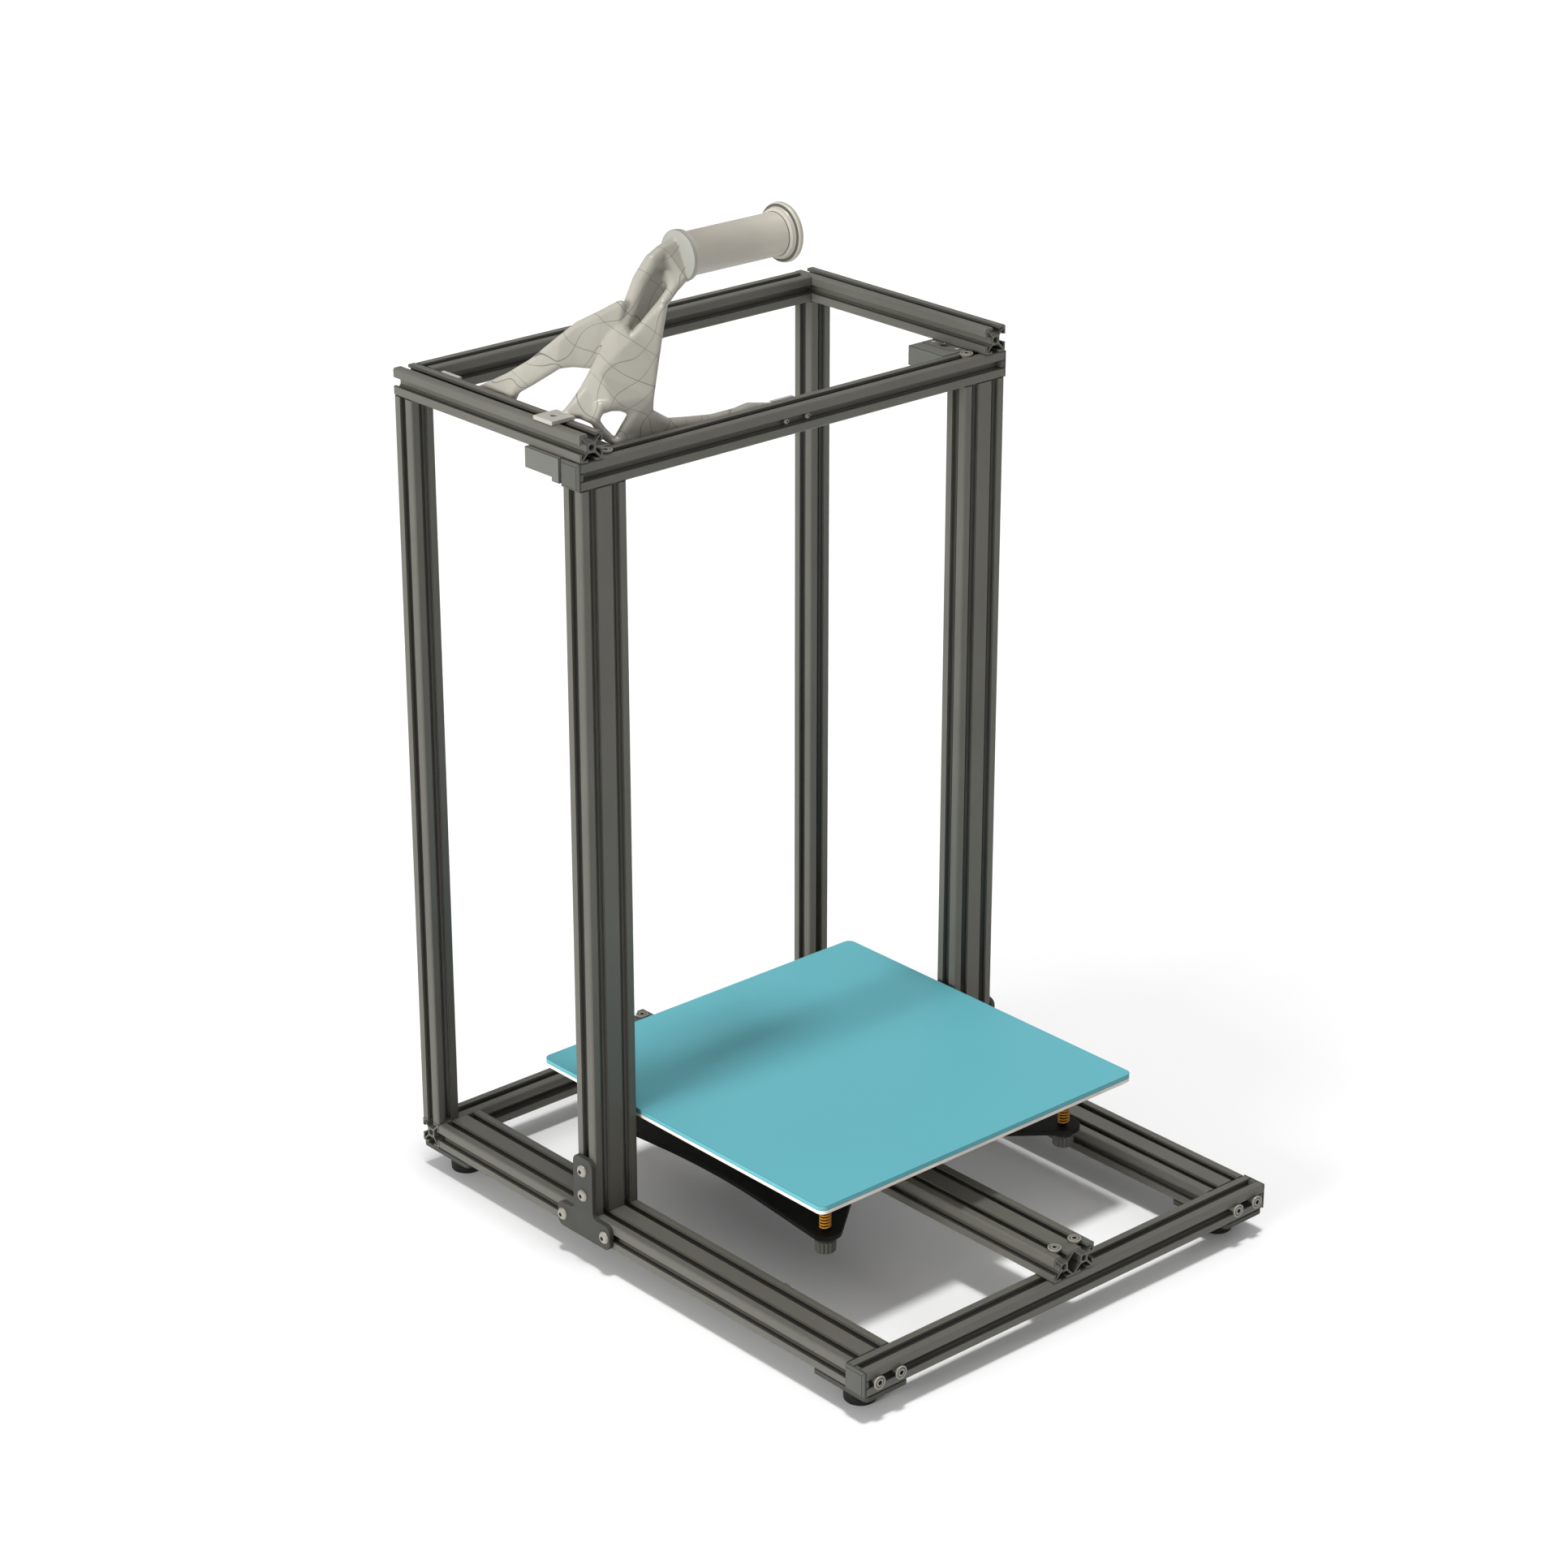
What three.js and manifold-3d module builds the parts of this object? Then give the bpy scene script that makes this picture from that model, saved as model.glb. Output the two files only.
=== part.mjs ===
// Frame, print bed and spool holder of a bed-moving FDM printer, in millimetres, +Z up.
// Every piece is placed from the base frame's left front bottom corner (+X right, +Y back);
// one outer group then moves the whole machine, so that it stands on Z = 0 about its centre.
import * as THREE from "three";
import { ConvexGeometry } from "three/addons/geometries/ConvexGeometry.js";
import { mergeVertices } from "three/addons/utils/BufferGeometryUtils.js";
import Module from "manifold-3d";

const wasm = await Module();
wasm.setup();

// ---- driving dimensions -------------------------------------------------------------------
const CELL = 20; // side of one extrusion cell
const WIDTH = 400; // base frame, X
const DEPTH = 500; // base frame, Y
const UPRIGHT_Y = 290; // front face of the front uprights
const TOP_BEAM_Z = 595; // top of the front top beam
const GAP = 0.3; // room between round or turned pieces
const RUNNING = 0.05; // radial room of a running fit

const PLATE_THICK = 4; // foot plates and T plates
const FOOT_HEIGHT = 16;
const FOOT_RADIUS = 12.5;
const SCREW_PROUD = 3.25; // how far the front screws stand out of the base frame

const CAP_THICK = 2.5;
const CAP_EDGE = 0.9; // height of the caps' square edge, below the bevel
const BED_SIZE = 311;
const BED_CORNER = 6;
const GLASS_TOP = 91.5;
const GLASS_THICK = 3.25;
const HEATER_THICK = 3;
const CARRIAGE_TOP = 48;
const CARRIAGE_THICK = 4;
const LEVEL_PITCH = 240; // spacing of the levelling studs, both ways
const STUD_RADIUS = 2;
const STUD_END = 32.5;
const SPRING_RADIUS = 3.7; // to the middle of the wire
const KNOB_LOW = 30.3;
const KNOB_RIM = 9.4; // height of the knob's fluted grip
const KNOB_RADIUS = 8.2;
const KNOB_FLUTES = 14;
const HUB_RADIUS = 4.2;

const RAIL_Z = 30; // centre height of the bed rail
const WHEEL_RADIUS = 12;
const WHEEL_HALF = 5.1;
const WHEEL_RIM_HALF = 2.5;
const WHEEL_OFFSET = 31.5; // wheel axle from the rail's centre, X
const WHEEL_BASE = 110; // between front and back wheels, Y
const AXLE_RADIUS = 2.5;

const SPOOL_AXIS = { y: 335, z: 707 };
const SPOOL_DISC_X = 125.5; // outer face of the bracket's end disc
const SPOOL_DISC_RADIUS = 18.5;
const SPOOL_TUBE_RADIUS = 15.6;
const SPOOL_TUBE_END = 222.8;

const CENTRE_X = WIDTH / 2;
const CENTRE_Y = DEPTH / 2;
const STANDING_HEIGHT = FOOT_HEIGHT + PLATE_THICK;

// ---- materials ----------------------------------------------------------------------------
const finish = (color, roughness, metalness) => ({ color, roughness, metalness });
const FINISHES = {
  extrusion: finish(0x77766f, 0.45, 0.7),
  cap: finish(0x7a7b75, 0.6, 0),
  plate: finish(0x5f605a, 0.5, 0.3),
  rubber: finish(0x121212, 0.9, 0),
  screw: finish(0xb0aca5, 0.35, 0.9),
  bearing: finish(0xb8b5af, 0.3, 0.9),
  block: finish(0x7f8078, 0.55, 0),
  glass: finish(0x6fb8c1, 0.15, 0),
  heater: finish(0xd8d2cb, 0.5, 0.3),
  carriage: finish(0x1a1a16, 0.6, 0.2),
  spring: finish(0xc68a2c, 0.4, 0.3),
  knob: finish(0x5c5b56, 0.6, 0),
  wheel: finish(0x1c1c1c, 0.6, 0),
  spool: finish(0xc4c0b8, 0.4, 0),
};

// ---- geometry helpers ---------------------------------------------------------------------
function bare(geometry) {
  geometry.deleteAttribute("normal");
  geometry.deleteAttribute("uv");
  return mergeVertices(geometry, 1e-4);
}

function solid(geometry) {
  const merged = bare(geometry);
  const vertProperties = new Float32Array(merged.attributes.position.array);
  const triVerts = new Uint32Array(merged.index.array);
  return new wasm.Manifold(new wasm.Mesh({ numProp: 3, vertProperties, triVerts }));
}

function geometryOf(manifold) {
  const mesh = manifold.getMesh();
  const geometry = new THREE.BufferGeometry();
  geometry.setAttribute("position", new THREE.BufferAttribute(mesh.vertProperties, 3));
  geometry.setIndex(new THREE.BufferAttribute(mesh.triVerts, 1));
  return geometry;
}

const cut = (body, tools) => tools.reduce((left, tool) => left.subtract(solid(tool)), solid(body));
const join = (pieces) => pieces.map(solid).reduce((whole, piece) => whole.add(piece));

function box([x0, y0, z0], [x1, y1, z1]) {
  const geometry = new THREE.BoxGeometry(x1 - x0, y1 - y0, z1 - z0);
  return geometry.translate((x0 + x1) / 2, (y0 + y1) / 2, (z0 + z1) / 2);
}

// A cylinder from one point to another.
function rod(from, to, radius, sides = 16) {
  const start = new THREE.Vector3(...from);
  const along = new THREE.Vector3(...to).sub(start);
  const geometry = new THREE.CylinderGeometry(radius, radius, along.length(), sides);
  geometry.translate(0, along.length() / 2, 0);
  const turn = new THREE.Quaternion().setFromUnitVectors(new THREE.Vector3(0, 1, 0), along.normalize());
  return geometry.applyQuaternion(turn).translate(...from);
}

// A solid of revolution about Z. The profile is [radius, z], anticlockwise seen with Z up.
function turned(profile, sides) {
  const points = profile.map(([radius, z]) => new THREE.Vector2(radius, z));
  return new THREE.LatheGeometry(points, sides).rotateX(Math.PI / 2);
}

// Corner radius of a faceted bore that leaves RUNNING room all round a shaft.
const boreRadius = (shaft, sides) => (shaft + RUNNING) / Math.cos(Math.PI / sides);

const ring = (inner, outer, low, high, sides) =>
  turned([[inner, low], [outer, low], [outer, high], [inner, high], [inner, low]], sides);

function extruded(shape, depth, curveSegments = 4) {
  return new THREE.ExtrudeGeometry(shape, { depth, bevelEnabled: false, curveSegments });
}

function circleHole(x, y, radius) {
  return new THREE.Path().absarc(x, y, radius, 0, 2 * Math.PI, true);
}

// A closed outline of straight edges with true arcs at its corners: [x, y, corner radius].
function roundedOutline(corners) {
  const shape = new THREE.Shape();
  const count = corners.length;
  corners.forEach(([x, y, radius], index) => {
    const here = new THREE.Vector2(x, y);
    const [beforeX, beforeY] = corners[(index + count - 1) % count];
    const [afterX, afterY] = corners[(index + 1) % count];
    const back = new THREE.Vector2(beforeX, beforeY).sub(here).normalize();
    const on = new THREE.Vector2(afterX, afterY).sub(here).normalize();
    const half = Math.acos(back.dot(on)) / 2;
    const reach = radius / Math.tan(half);
    const start = here.clone().addScaledVector(back, reach);
    const end = here.clone().addScaledVector(on, reach);
    const middle = back.clone().add(on).normalize();
    const centre = here.clone().addScaledVector(middle, radius / Math.sin(half));
    const from = start.clone().sub(centre).angle();
    const to = end.clone().sub(centre).angle();
    if (index === 0) shape.moveTo(start.x, start.y);
    else shape.lineTo(start.x, start.y);
    shape.absarc(centre.x, centre.y, radius, from, to, back.cross(on) > 0);
  });
  return shape;
}

function roundedRectangle(x0, y0, x1, y1, radius) {
  return roundedOutline([[x0, y0, radius], [x1, y0, radius], [x1, y1, radius], [x0, y1, radius]]);
}

// ---- the machine --------------------------------------------------------------------------
const machine = new THREE.Group();
const parts = new THREE.Group();
parts.position.set(-CENTRE_X, -(DEPTH - SCREW_PROUD) / 2, STANDING_HEIGHT);
machine.add(parts);

const materials = Object.fromEntries(
  Object.entries(FINISHES).map(([name, values]) => [name, new THREE.MeshStandardMaterial(values)]),
);

function put(name, geometry, material, position = [0, 0, 0], rotation = [0, 0, 0]) {
  const closed = geometry instanceof THREE.BufferGeometry ? bare(geometry) : geometryOf(geometry);
  const mesh = new THREE.Mesh(closed, materials[material]);
  mesh.name = name;
  mesh.position.set(...position);
  mesh.rotation.set(...rotation);
  parts.add(mesh);
}

const QUARTER = Math.PI / 2;
const ALONG = { x: [0, QUARTER, 0], y: [-QUARTER, 0, 0], z: [0, 0, 0] };
const FACING_X = [QUARTER, QUARTER, 0]; // a flat shape stood up across X: its x is Y, its y is Z
const SIDES = [["left", 0], ["right", 1]];
const ENDS = [["front", 0], ["rear", 1]];
const mirrorX = (x, side) => (side ? WIDTH - x : x);
const mirrorY = (y, end) => (end ? DEPTH - y : y);

// ---- slotted extrusions -------------------------------------------------------------------
const LIP = 1.8; // thickness of the lips beside a slot
const BEAD = 0.5; // the lips' thicker inner edge
const SLOT_HALF = 3.1;
const CORE_HALF = 4.1;
const CORE_HOLE = 2.1;
const WEB_HALF = 1.15; // half a diagonal web, measured along X or Y
const EDGE_RADIUS = 1.5;
const HALF_CELL = CELL / 2;
const LIP_INSIDE = HALF_CELL - LIP;

// One T slot as seen on a cell's +X face, turned to the face that it opens in.
function slotOutline(cellX, angle) {
  const half = [
    [HALF_CELL, SLOT_HALF],
    [LIP_INSIDE - BEAD, SLOT_HALF],
    [LIP_INSIDE - BEAD, SLOT_HALF + 1],
    [LIP_INSIDE, SLOT_HALF + 1.5],
    [LIP_INSIDE, LIP_INSIDE - WEB_HALF],
    [CORE_HALF, CORE_HALF - WEB_HALF],
  ];
  const whole = [...half.map(([out, side]) => [out, -side]), ...half.reverse()];
  return whole.map(([out, side]) => {
    const point = new THREE.Vector2(out, side).rotateAround(new THREE.Vector2(), angle);
    return point.add(new THREE.Vector2(cellX, 0));
  });
}

function cornerOutline(signX, signY, cells) {
  const inset = HALF_CELL - EDGE_RADIUS;
  const centre = new THREE.Vector2(signX * (inset + (cells - 1) * HALF_CELL), signY * inset);
  const middle = Math.atan2(signY, signX);
  return [-2, -1, 1, 2].map((step) => {
    const angle = middle + (step * Math.PI) / 8;
    return new THREE.Vector2(Math.cos(angle), Math.sin(angle)).multiplyScalar(EDGE_RADIUS).add(centre);
  });
}

// Section of one or two cells side by side along X.
function extrusionSection(cells) {
  const centres = cells === 1 ? [0] : [-HALF_CELL, HALF_CELL];
  const last = centres[cells - 1];
  const outline = [
    ...centres.flatMap((x) => slotOutline(x, -QUARTER)),
    ...cornerOutline(1, -1, cells),
    ...slotOutline(last, 0),
    ...cornerOutline(1, 1, cells),
    ...[...centres].reverse().flatMap((x) => slotOutline(x, QUARTER)),
    ...cornerOutline(-1, 1, cells),
    ...slotOutline(-last, 2 * QUARTER),
    ...cornerOutline(-1, -1, cells),
  ];
  const section = new THREE.Shape(outline);
  section.holes.push(...centres.map((x) => circleHole(x, 0, CORE_HOLE)));
  if (cells === 2) section.holes.push(middleVoid());
  return section;
}

// The six-sided hollow between the two cores of a double cell.
function middleVoid() {
  const wall = HALF_CELL - CORE_HALF;
  const low = CORE_HALF - WEB_HALF;
  const narrow = wall - (LIP_INSIDE - low);
  const quarter = [[wall, low], [narrow, LIP_INSIDE]];
  const upper = [...quarter, ...quarter.map(([x, y]) => [-x, y]).reverse()];
  const points = [...upper, ...upper.map(([x, y]) => [-x, -y])];
  return new THREE.Path(points.map(([x, y]) => new THREE.Vector2(x, y)));
}

function extrusion(name, cells, axis, start, length, change = (body) => body) {
  const body = extruded(extrusionSection(cells), length, 5);
  put(name, change(body), "extrusion", start, ALONG[axis]);
}

const FRONT_SCREWS_X = [10, 30, WIDTH - 30, WIDTH - 10];

// The front cross member is drilled for the screws that hold the side rails' ends.
function drillFrontMember(body) {
  return cut(body, FRONT_SCREWS_X.map((x) => rod([0, -HALF_CELL - 1, x], [0, HALF_CELL + 1, x], 2.8, 12)));
}

function buildExtrusions() {
  const beamTop = TOP_BEAM_Z - HALF_CELL;
  const sideTop = TOP_BEAM_Z + HALF_CELL;
  extrusion("base_front_beam", 1, "x", [0, HALF_CELL, HALF_CELL], WIDTH, drillFrontMember);
  extrusion("base_rear_beam", 1, "x", [0, DEPTH - HALF_CELL, HALF_CELL], WIDTH);
  extrusion("bed_rail", 2, "y", [CENTRE_X, 0, RAIL_Z], DEPTH);
  extrusion("top_front_beam", 1, "x", [0, UPRIGHT_Y + HALF_CELL, beamTop], WIDTH);
  extrusion("top_rear_beam", 1, "x", [CELL, DEPTH - HALF_CELL, sideTop], WIDTH - 2 * CELL);
  for (const [side, at] of SIDES) {
    const narrow = mirrorX(HALF_CELL, at);
    const wide = mirrorX(CELL, at);
    extrusion(`base_${side}_beam`, 2, "y", [wide, CELL, HALF_CELL], DEPTH - 2 * CELL);
    extrusion(`front_${side}_upright`, 2, "z", [wide, UPRIGHT_Y + HALF_CELL, CELL], TOP_BEAM_Z - 2 * CELL);
    extrusion(`rear_${side}_upright`, 1, "z", [narrow, DEPTH - HALF_CELL, CELL], TOP_BEAM_Z - CELL);
    extrusion(`top_${side}_beam`, 1, "y", [narrow, UPRIGHT_Y, sideTop], DEPTH - UPRIGHT_Y);
  }
}

// ---- end caps -----------------------------------------------------------------------------
// A bevelled square lid with four tongues that press into the beam's slots.
function endCap() {
  const inner = HALF_CELL - 2;
  const square = (half, depth) => [[-1, -1], [1, -1], [1, 1], [-1, 1]].map(
    ([a, b]) => new THREE.Vector3(-depth, a * half, b * half),
  );
  const rims = [square(HALF_CELL, 0), square(HALF_CELL, CAP_EDGE), square(inner, CAP_THICK)];
  const lid = new ConvexGeometry(rims.flat());
  const tongue = (near, far) => box([-0.5, near[0], near[1]], [3, far[0], far[1]]);
  const half = SLOT_HALF - 0.4;
  const bottom = CORE_HALF + 0.5;
  const top = HALF_CELL - 0.4;
  const tongues = [
    tongue([bottom, -half], [top, half]),
    tongue([-top, -half], [-bottom, half]),
    tongue([-half, bottom], [half, top]),
    tongue([-half, -top], [half, -bottom]),
  ];
  return join([lid, ...tongues]);
}

function buildEndCaps() {
  const beams = [["base", HALF_CELL, HALF_CELL], ["top", UPRIGHT_Y + HALF_CELL, TOP_BEAM_Z - HALF_CELL]];
  for (const [beam, y, z] of beams) {
    for (const [side, at] of SIDES) {
      put(`${beam}_${side}_end_cap`, endCap(), "cap", [mirrorX(0, at), y, z], [0, 0, at * Math.PI]);
    }
  }
}

// ---- foot plates and rubber feet ----------------------------------------------------------
const FOOT_PLATE = { width: 40, length: 55, corner: 4, boltHole: 2.75, boltSpacing: 38 };

function footPlate() {
  const { width, length, corner, boltHole, boltSpacing } = FOOT_PLATE;
  const outline = roundedRectangle(-width / 2, -length / 2, width / 2, length / 2, corner);
  const bolts = [-boltSpacing / 2, boltSpacing / 2];
  outline.holes = bolts.map((y) => circleHole(-HALF_CELL, y, boltHole));
  return extruded(outline, PLATE_THICK);
}

function foot() {
  const recess = 3.5; // radius of the recess for the foot's bolt
  const recessTop = 8 - FOOT_HEIGHT;
  const sole = FOOT_RADIUS - 1.3;
  return turned([
    [0, recessTop],
    [recess, recessTop],
    [recess, -FOOT_HEIGHT],
    [sole, -FOOT_HEIGHT],
    [sole + 0.6, 1 - FOOT_HEIGHT],
    [FOOT_RADIUS, 0],
    [0, 0],
  ], 24);
}

function buildFeet() {
  for (const [end, far] of ENDS) {
    for (const [side, at] of SIDES) {
      const x = mirrorX(FOOT_PLATE.width / 2, at);
      const y = mirrorY(FOOT_PLATE.length / 2, far);
      put(`${end}_${side}_foot_plate`, footPlate(), "plate", [x, y, -PLATE_THICK]);
      put(`${end}_${side}_foot`, foot(), "rubber", [x, y, -PLATE_THICK]);
    }
  }
}

// ---- T plates that tie the front uprights to the base -------------------------------------
const T_PLATE_HOLES = [[-24, 10], [24, 10], [0, 35], [0, 55]]; // from the upright's centre line and Z = 0

function tPlate() {
  const half = 30;
  const stem = 11;
  const outline = roundedOutline([
    [-half, 0, 6], [half, 0, 6], [half, CELL, 6], [stem, CELL, 4],
    [stem, 66, 6], [-stem, 66, 6], [-stem, CELL, 4], [-half, CELL, 6],
  ]);
  for (const [y, z] of T_PLATE_HOLES) outline.holes.push(circleHole(y, z, 2.9));
  return extruded(outline, PLATE_THICK, 3);
}

function buildTPlates() {
  for (const [side, at] of SIDES) {
    const x = at ? WIDTH : -PLATE_THICK;
    put(`${side}_t_plate`, tPlate(), "plate", [x, UPRIGHT_Y + HALF_CELL, 0], FACING_X);
  }
}

// ---- screws -------------------------------------------------------------------------------
const SCREW_SHANK = 2.4;
const CORE_THREAD = CORE_HOLE - GAP;

function hexSocket(radius, top, depth) {
  return turned([[0, top - depth], [radius, top - depth], [radius, top + 1], [0, top + 1]], 6);
}

// Cone-headed screw, its head standing SCREW_PROUD above Z = 0 and its shank reaching down
// through the cross member and into the side rail's core.
function coneScrew() {
  const body = turned([
    [0, -CELL - 8],
    [CORE_THREAD, -CELL - 8],
    [CORE_THREAD, -CELL + 1],
    [SCREW_SHANK, -CELL + 1],
    [SCREW_SHANK, -0.4],
    [5, SCREW_PROUD - 0.9],
    [5, SCREW_PROUD - 0.2],
    [4.7, SCREW_PROUD],
    [0, SCREW_PROUD],
  ], 16);
  return cut(body, [hexSocket(1.75, SCREW_PROUD, 1.8)]);
}

// Button-headed screw whose head rests on Z = 0.
function buttonScrew() {
  const body = turned([
    [0, -PLATE_THICK - 5.5],
    [SCREW_SHANK, -PLATE_THICK - 5.5],
    [SCREW_SHANK, 0],
    [4.75, 0],
    [4.6, 0.8],
    [3.7, 1.9],
    [2.4, 2.5],
    [0, 2.5],
  ], 16);
  return cut(body, [hexSocket(1.75, 2.5, 1.6)]);
}

function buildScrews() {
  FRONT_SCREWS_X.forEach((x, index) => {
    put(`front_beam_screw_${index + 1}`, coneScrew(), "screw", [x, 0, HALF_CELL], [QUARTER, 0, 0]);
  });
  const [along, up] = T_PLATE_HOLES[0];
  for (const [side, at] of SIDES) {
    const x = at ? WIDTH + PLATE_THICK : -PLATE_THICK;
    const turn = [0, at ? QUARTER : -QUARTER, 0];
    put(`${side}_t_plate_screw`, buttonScrew(), "screw", [x, UPRIGHT_Y + HALF_CELL + along, up], turn);
  }
}

// ---- lead screw top bearings --------------------------------------------------------------
const BLOCK = { out: 3, inner: 44, back: 347, thick: 15, lip: 3, lipLength: 8 };
const BEARING = { x: 22.5, y: 330, outer: 7, race: 5.5, inner: 5.4, bore: 4, height: 5 };
const FLANGE = { halfWidth: 8.5, halfLength: 16, corner: 3, thick: 1.2 };

const flangeOutline = ({ halfWidth, halfLength, corner }, grow) =>
  roundedRectangle(-halfWidth - grow, -halfLength - grow, halfWidth + grow, halfLength + grow, corner);

function bearingBlock() {
  const front = UPRIGHT_Y + CELL;
  const low = TOP_BEAM_Z - BLOCK.thick;
  const body = join([
    box([-BLOCK.out, front, low], [BLOCK.inner, BLOCK.back, TOP_BEAM_Z]),
    box([-BLOCK.out, front, low - BLOCK.lip], [BLOCK.inner, front + BLOCK.lipLength, low + 1]),
  ]);
  const { x, y, outer, height } = BEARING;
  const pocket = extruded(flangeOutline(FLANGE, GAP), 5, 2).translate(x, y, TOP_BEAM_Z - FLANGE.thick - GAP);
  const seat = rod([x, y, TOP_BEAM_Z - height - GAP], [x, y, TOP_BEAM_Z], outer + GAP, 20);
  const through = rod([x, y, low - 1], [x, y, TOP_BEAM_Z], 5.4, 16);
  return [pocket, seat, through].reduce((left, tool) => left.subtract(solid(tool)), body);
}

// The bearing's outer race with the flange plate that screws into the block's pocket.
function bearingFlange() {
  const { outer, race, height } = BEARING;
  const plate = extruded(flangeOutline(FLANGE, 0), FLANGE.thick, 2).translate(0, 0, height - FLANGE.thick);
  const body = join([plate, rod([0, 0, 0], [0, 0, height], outer, 24)]);
  return body.subtract(solid(rod([0, 0, -1], [0, 0, height + 1], race, 24)));
}

function buildTopBearings() {
  const { y, inner, bore, height } = BEARING;
  const low = TOP_BEAM_Z - height;
  for (const [side, at] of SIDES) {
    const x = mirrorX(BEARING.x, at);
    const block = bearingBlock();
    put(`${side}_bearing_block`, at ? block.mirror([1, 0, 0]).translate([WIDTH, 0, 0]) : block, "block");
    put(`${side}_bearing_flange`, bearingFlange(), "bearing", [x, y, low]);
    put(`${side}_bearing_inner_race`, ring(bore, inner, 0, height, 24), "bearing", [x, y, low]);
  }
}

// ---- bed ----------------------------------------------------------------------------------
const LEVEL_POINTS = ENDS.flatMap(([end, far]) => SIDES.map(([side, at]) => ({
  name: `${end}_${side}`,
  x: CENTRE_X + (at - 0.5) * LEVEL_PITCH,
  y: CENTRE_Y + (far - 0.5) * LEVEL_PITCH,
})));
const WHEELS = ENDS.flatMap(([end, far]) => SIDES.map(([side, at]) => ({
  name: `${end}_${side}`,
  x: CENTRE_X + (at ? WHEEL_OFFSET : -WHEEL_OFFSET),
  y: CENTRE_Y + (far - 0.5) * WHEEL_BASE,
})));
const GLASS_BOTTOM = GLASS_TOP - GLASS_THICK;
const HEATER_BOTTOM = GLASS_BOTTOM - HEATER_THICK;
const CARRIAGE_BOTTOM = CARRIAGE_TOP - CARRIAGE_THICK;

function bedSheet(thickness) {
  const half = BED_SIZE / 2;
  return extruded(roundedRectangle(-half, -half, half, half, BED_CORNER), thickness);
}

// The heated plate carries four pressed-in studs, which pass down through the springs.
function heatedPlate() {
  const sheet = bedSheet(HEATER_THICK).translate(CENTRE_X, CENTRE_Y, HEATER_BOTTOM);
  const inside = GLASS_BOTTOM - 1;
  const studs = LEVEL_POINTS.map(({ x, y }) => rod([x, y, STUD_END], [x, y, inside], STUD_RADIUS, 10));
  return join([sheet, ...studs]);
}

// Four arms reach to the levelling studs, with hollow sides and deep notches front and back.
function carriagePlate() {
  const reach = [135, 148]; // outer corner points, from the plate's centre
  const notch = [40, 71];
  const waist = 120;
  const quarter = [[-reach[0], -reach[1], 12], [-notch[0], -notch[1], 15]];
  const front = [...quarter, ...quarter.map(([x, y, r]) => [-x, y, r]).reverse()];
  const back = front.map(([x, y, r]) => [-x, -y, r]);
  const outline = roundedOutline([...front, [waist, 0, 600], ...back, [-waist, 0, 600]]);
  const holes = (points, radius) =>
    points.map(({ x, y }) => circleHole(x - CENTRE_X, y - CENTRE_Y, radius));
  outline.holes = [...holes(LEVEL_POINTS, STUD_RADIUS + 0.5), ...holes(WHEELS, AXLE_RADIUS + GAP)];
  return extruded(outline, CARRIAGE_THICK, 6);
}

// A square-wire coil between the carriage plate and the heated plate.
class Coil extends THREE.Curve {
  constructor(radius, low, high, turns) {
    super();
    Object.assign(this, { radius, low, high, turns });
  }

  getPoint(t, target = new THREE.Vector3()) {
    const angle = 2 * Math.PI * this.turns * t;
    const z = THREE.MathUtils.lerp(this.low, this.high, t);
    return target.set(this.radius * Math.cos(angle), this.radius * Math.sin(angle), z);
  }
}

function spring() {
  const wire = 0.8; // half the wire's side
  const turns = 8;
  const corners = [[-wire, -wire], [wire, -wire], [wire, wire], [-wire, wire]];
  const section = new THREE.Shape(corners.map(([x, y]) => new THREE.Vector2(x, y)));
  const rise = GAP + wire;
  const path = new Coil(SPRING_RADIUS, rise, HEATER_BOTTOM - CARRIAGE_TOP - rise, turns);
  return new THREE.ExtrudeGeometry(section, { extrudePath: path, steps: turns * 7 });
}

// Thumb nut: a fluted grip with a chamfered top under a plain hub.
function levellingKnob() {
  const points = 3 * KNOB_FLUTES;
  const grip = new THREE.Shape(Array.from({ length: points }, (_, index) => {
    const angle = (2 * Math.PI * index) / points;
    const radius = index % 3 === 0 ? KNOB_RADIUS - 0.7 : KNOB_RADIUS;
    return new THREE.Vector2(radius * Math.cos(angle), radius * Math.sin(angle));
  }));
  const top = KNOB_RIM - 1.2;
  const rim = KNOB_RADIUS - 1;
  const chamfer = turned([[0, 0], [KNOB_RADIUS, 0], [KNOB_RADIUS, top], [rim, KNOB_RIM], [0, KNOB_RIM]], 20);
  const hub = rod([0, 0, top], [0, 0, CARRIAGE_BOTTOM - KNOB_LOW - GAP], HUB_RADIUS, 12);
  const bore = rod([0, 0, -1], [0, 0, 20], boreRadius(STUD_RADIUS, 12), 12);
  return solid(extruded(grip, KNOB_RIM)).intersect(solid(chamfer)).add(solid(hub)).subtract(solid(bore));
}

function wheel() {
  const flank = WHEEL_RADIUS - (WHEEL_HALF - WHEEL_RIM_HALF);
  const bore = boreRadius(AXLE_RADIUS, 20);
  return turned([
    [bore, -WHEEL_HALF],
    [flank, -WHEEL_HALF],
    [WHEEL_RADIUS, -WHEEL_RIM_HALF],
    [WHEEL_RADIUS, WHEEL_RIM_HALF],
    [flank, WHEEL_HALF],
    [bore, WHEEL_HALF],
    [bore, -WHEEL_HALF],
  ], 20);
}

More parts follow.
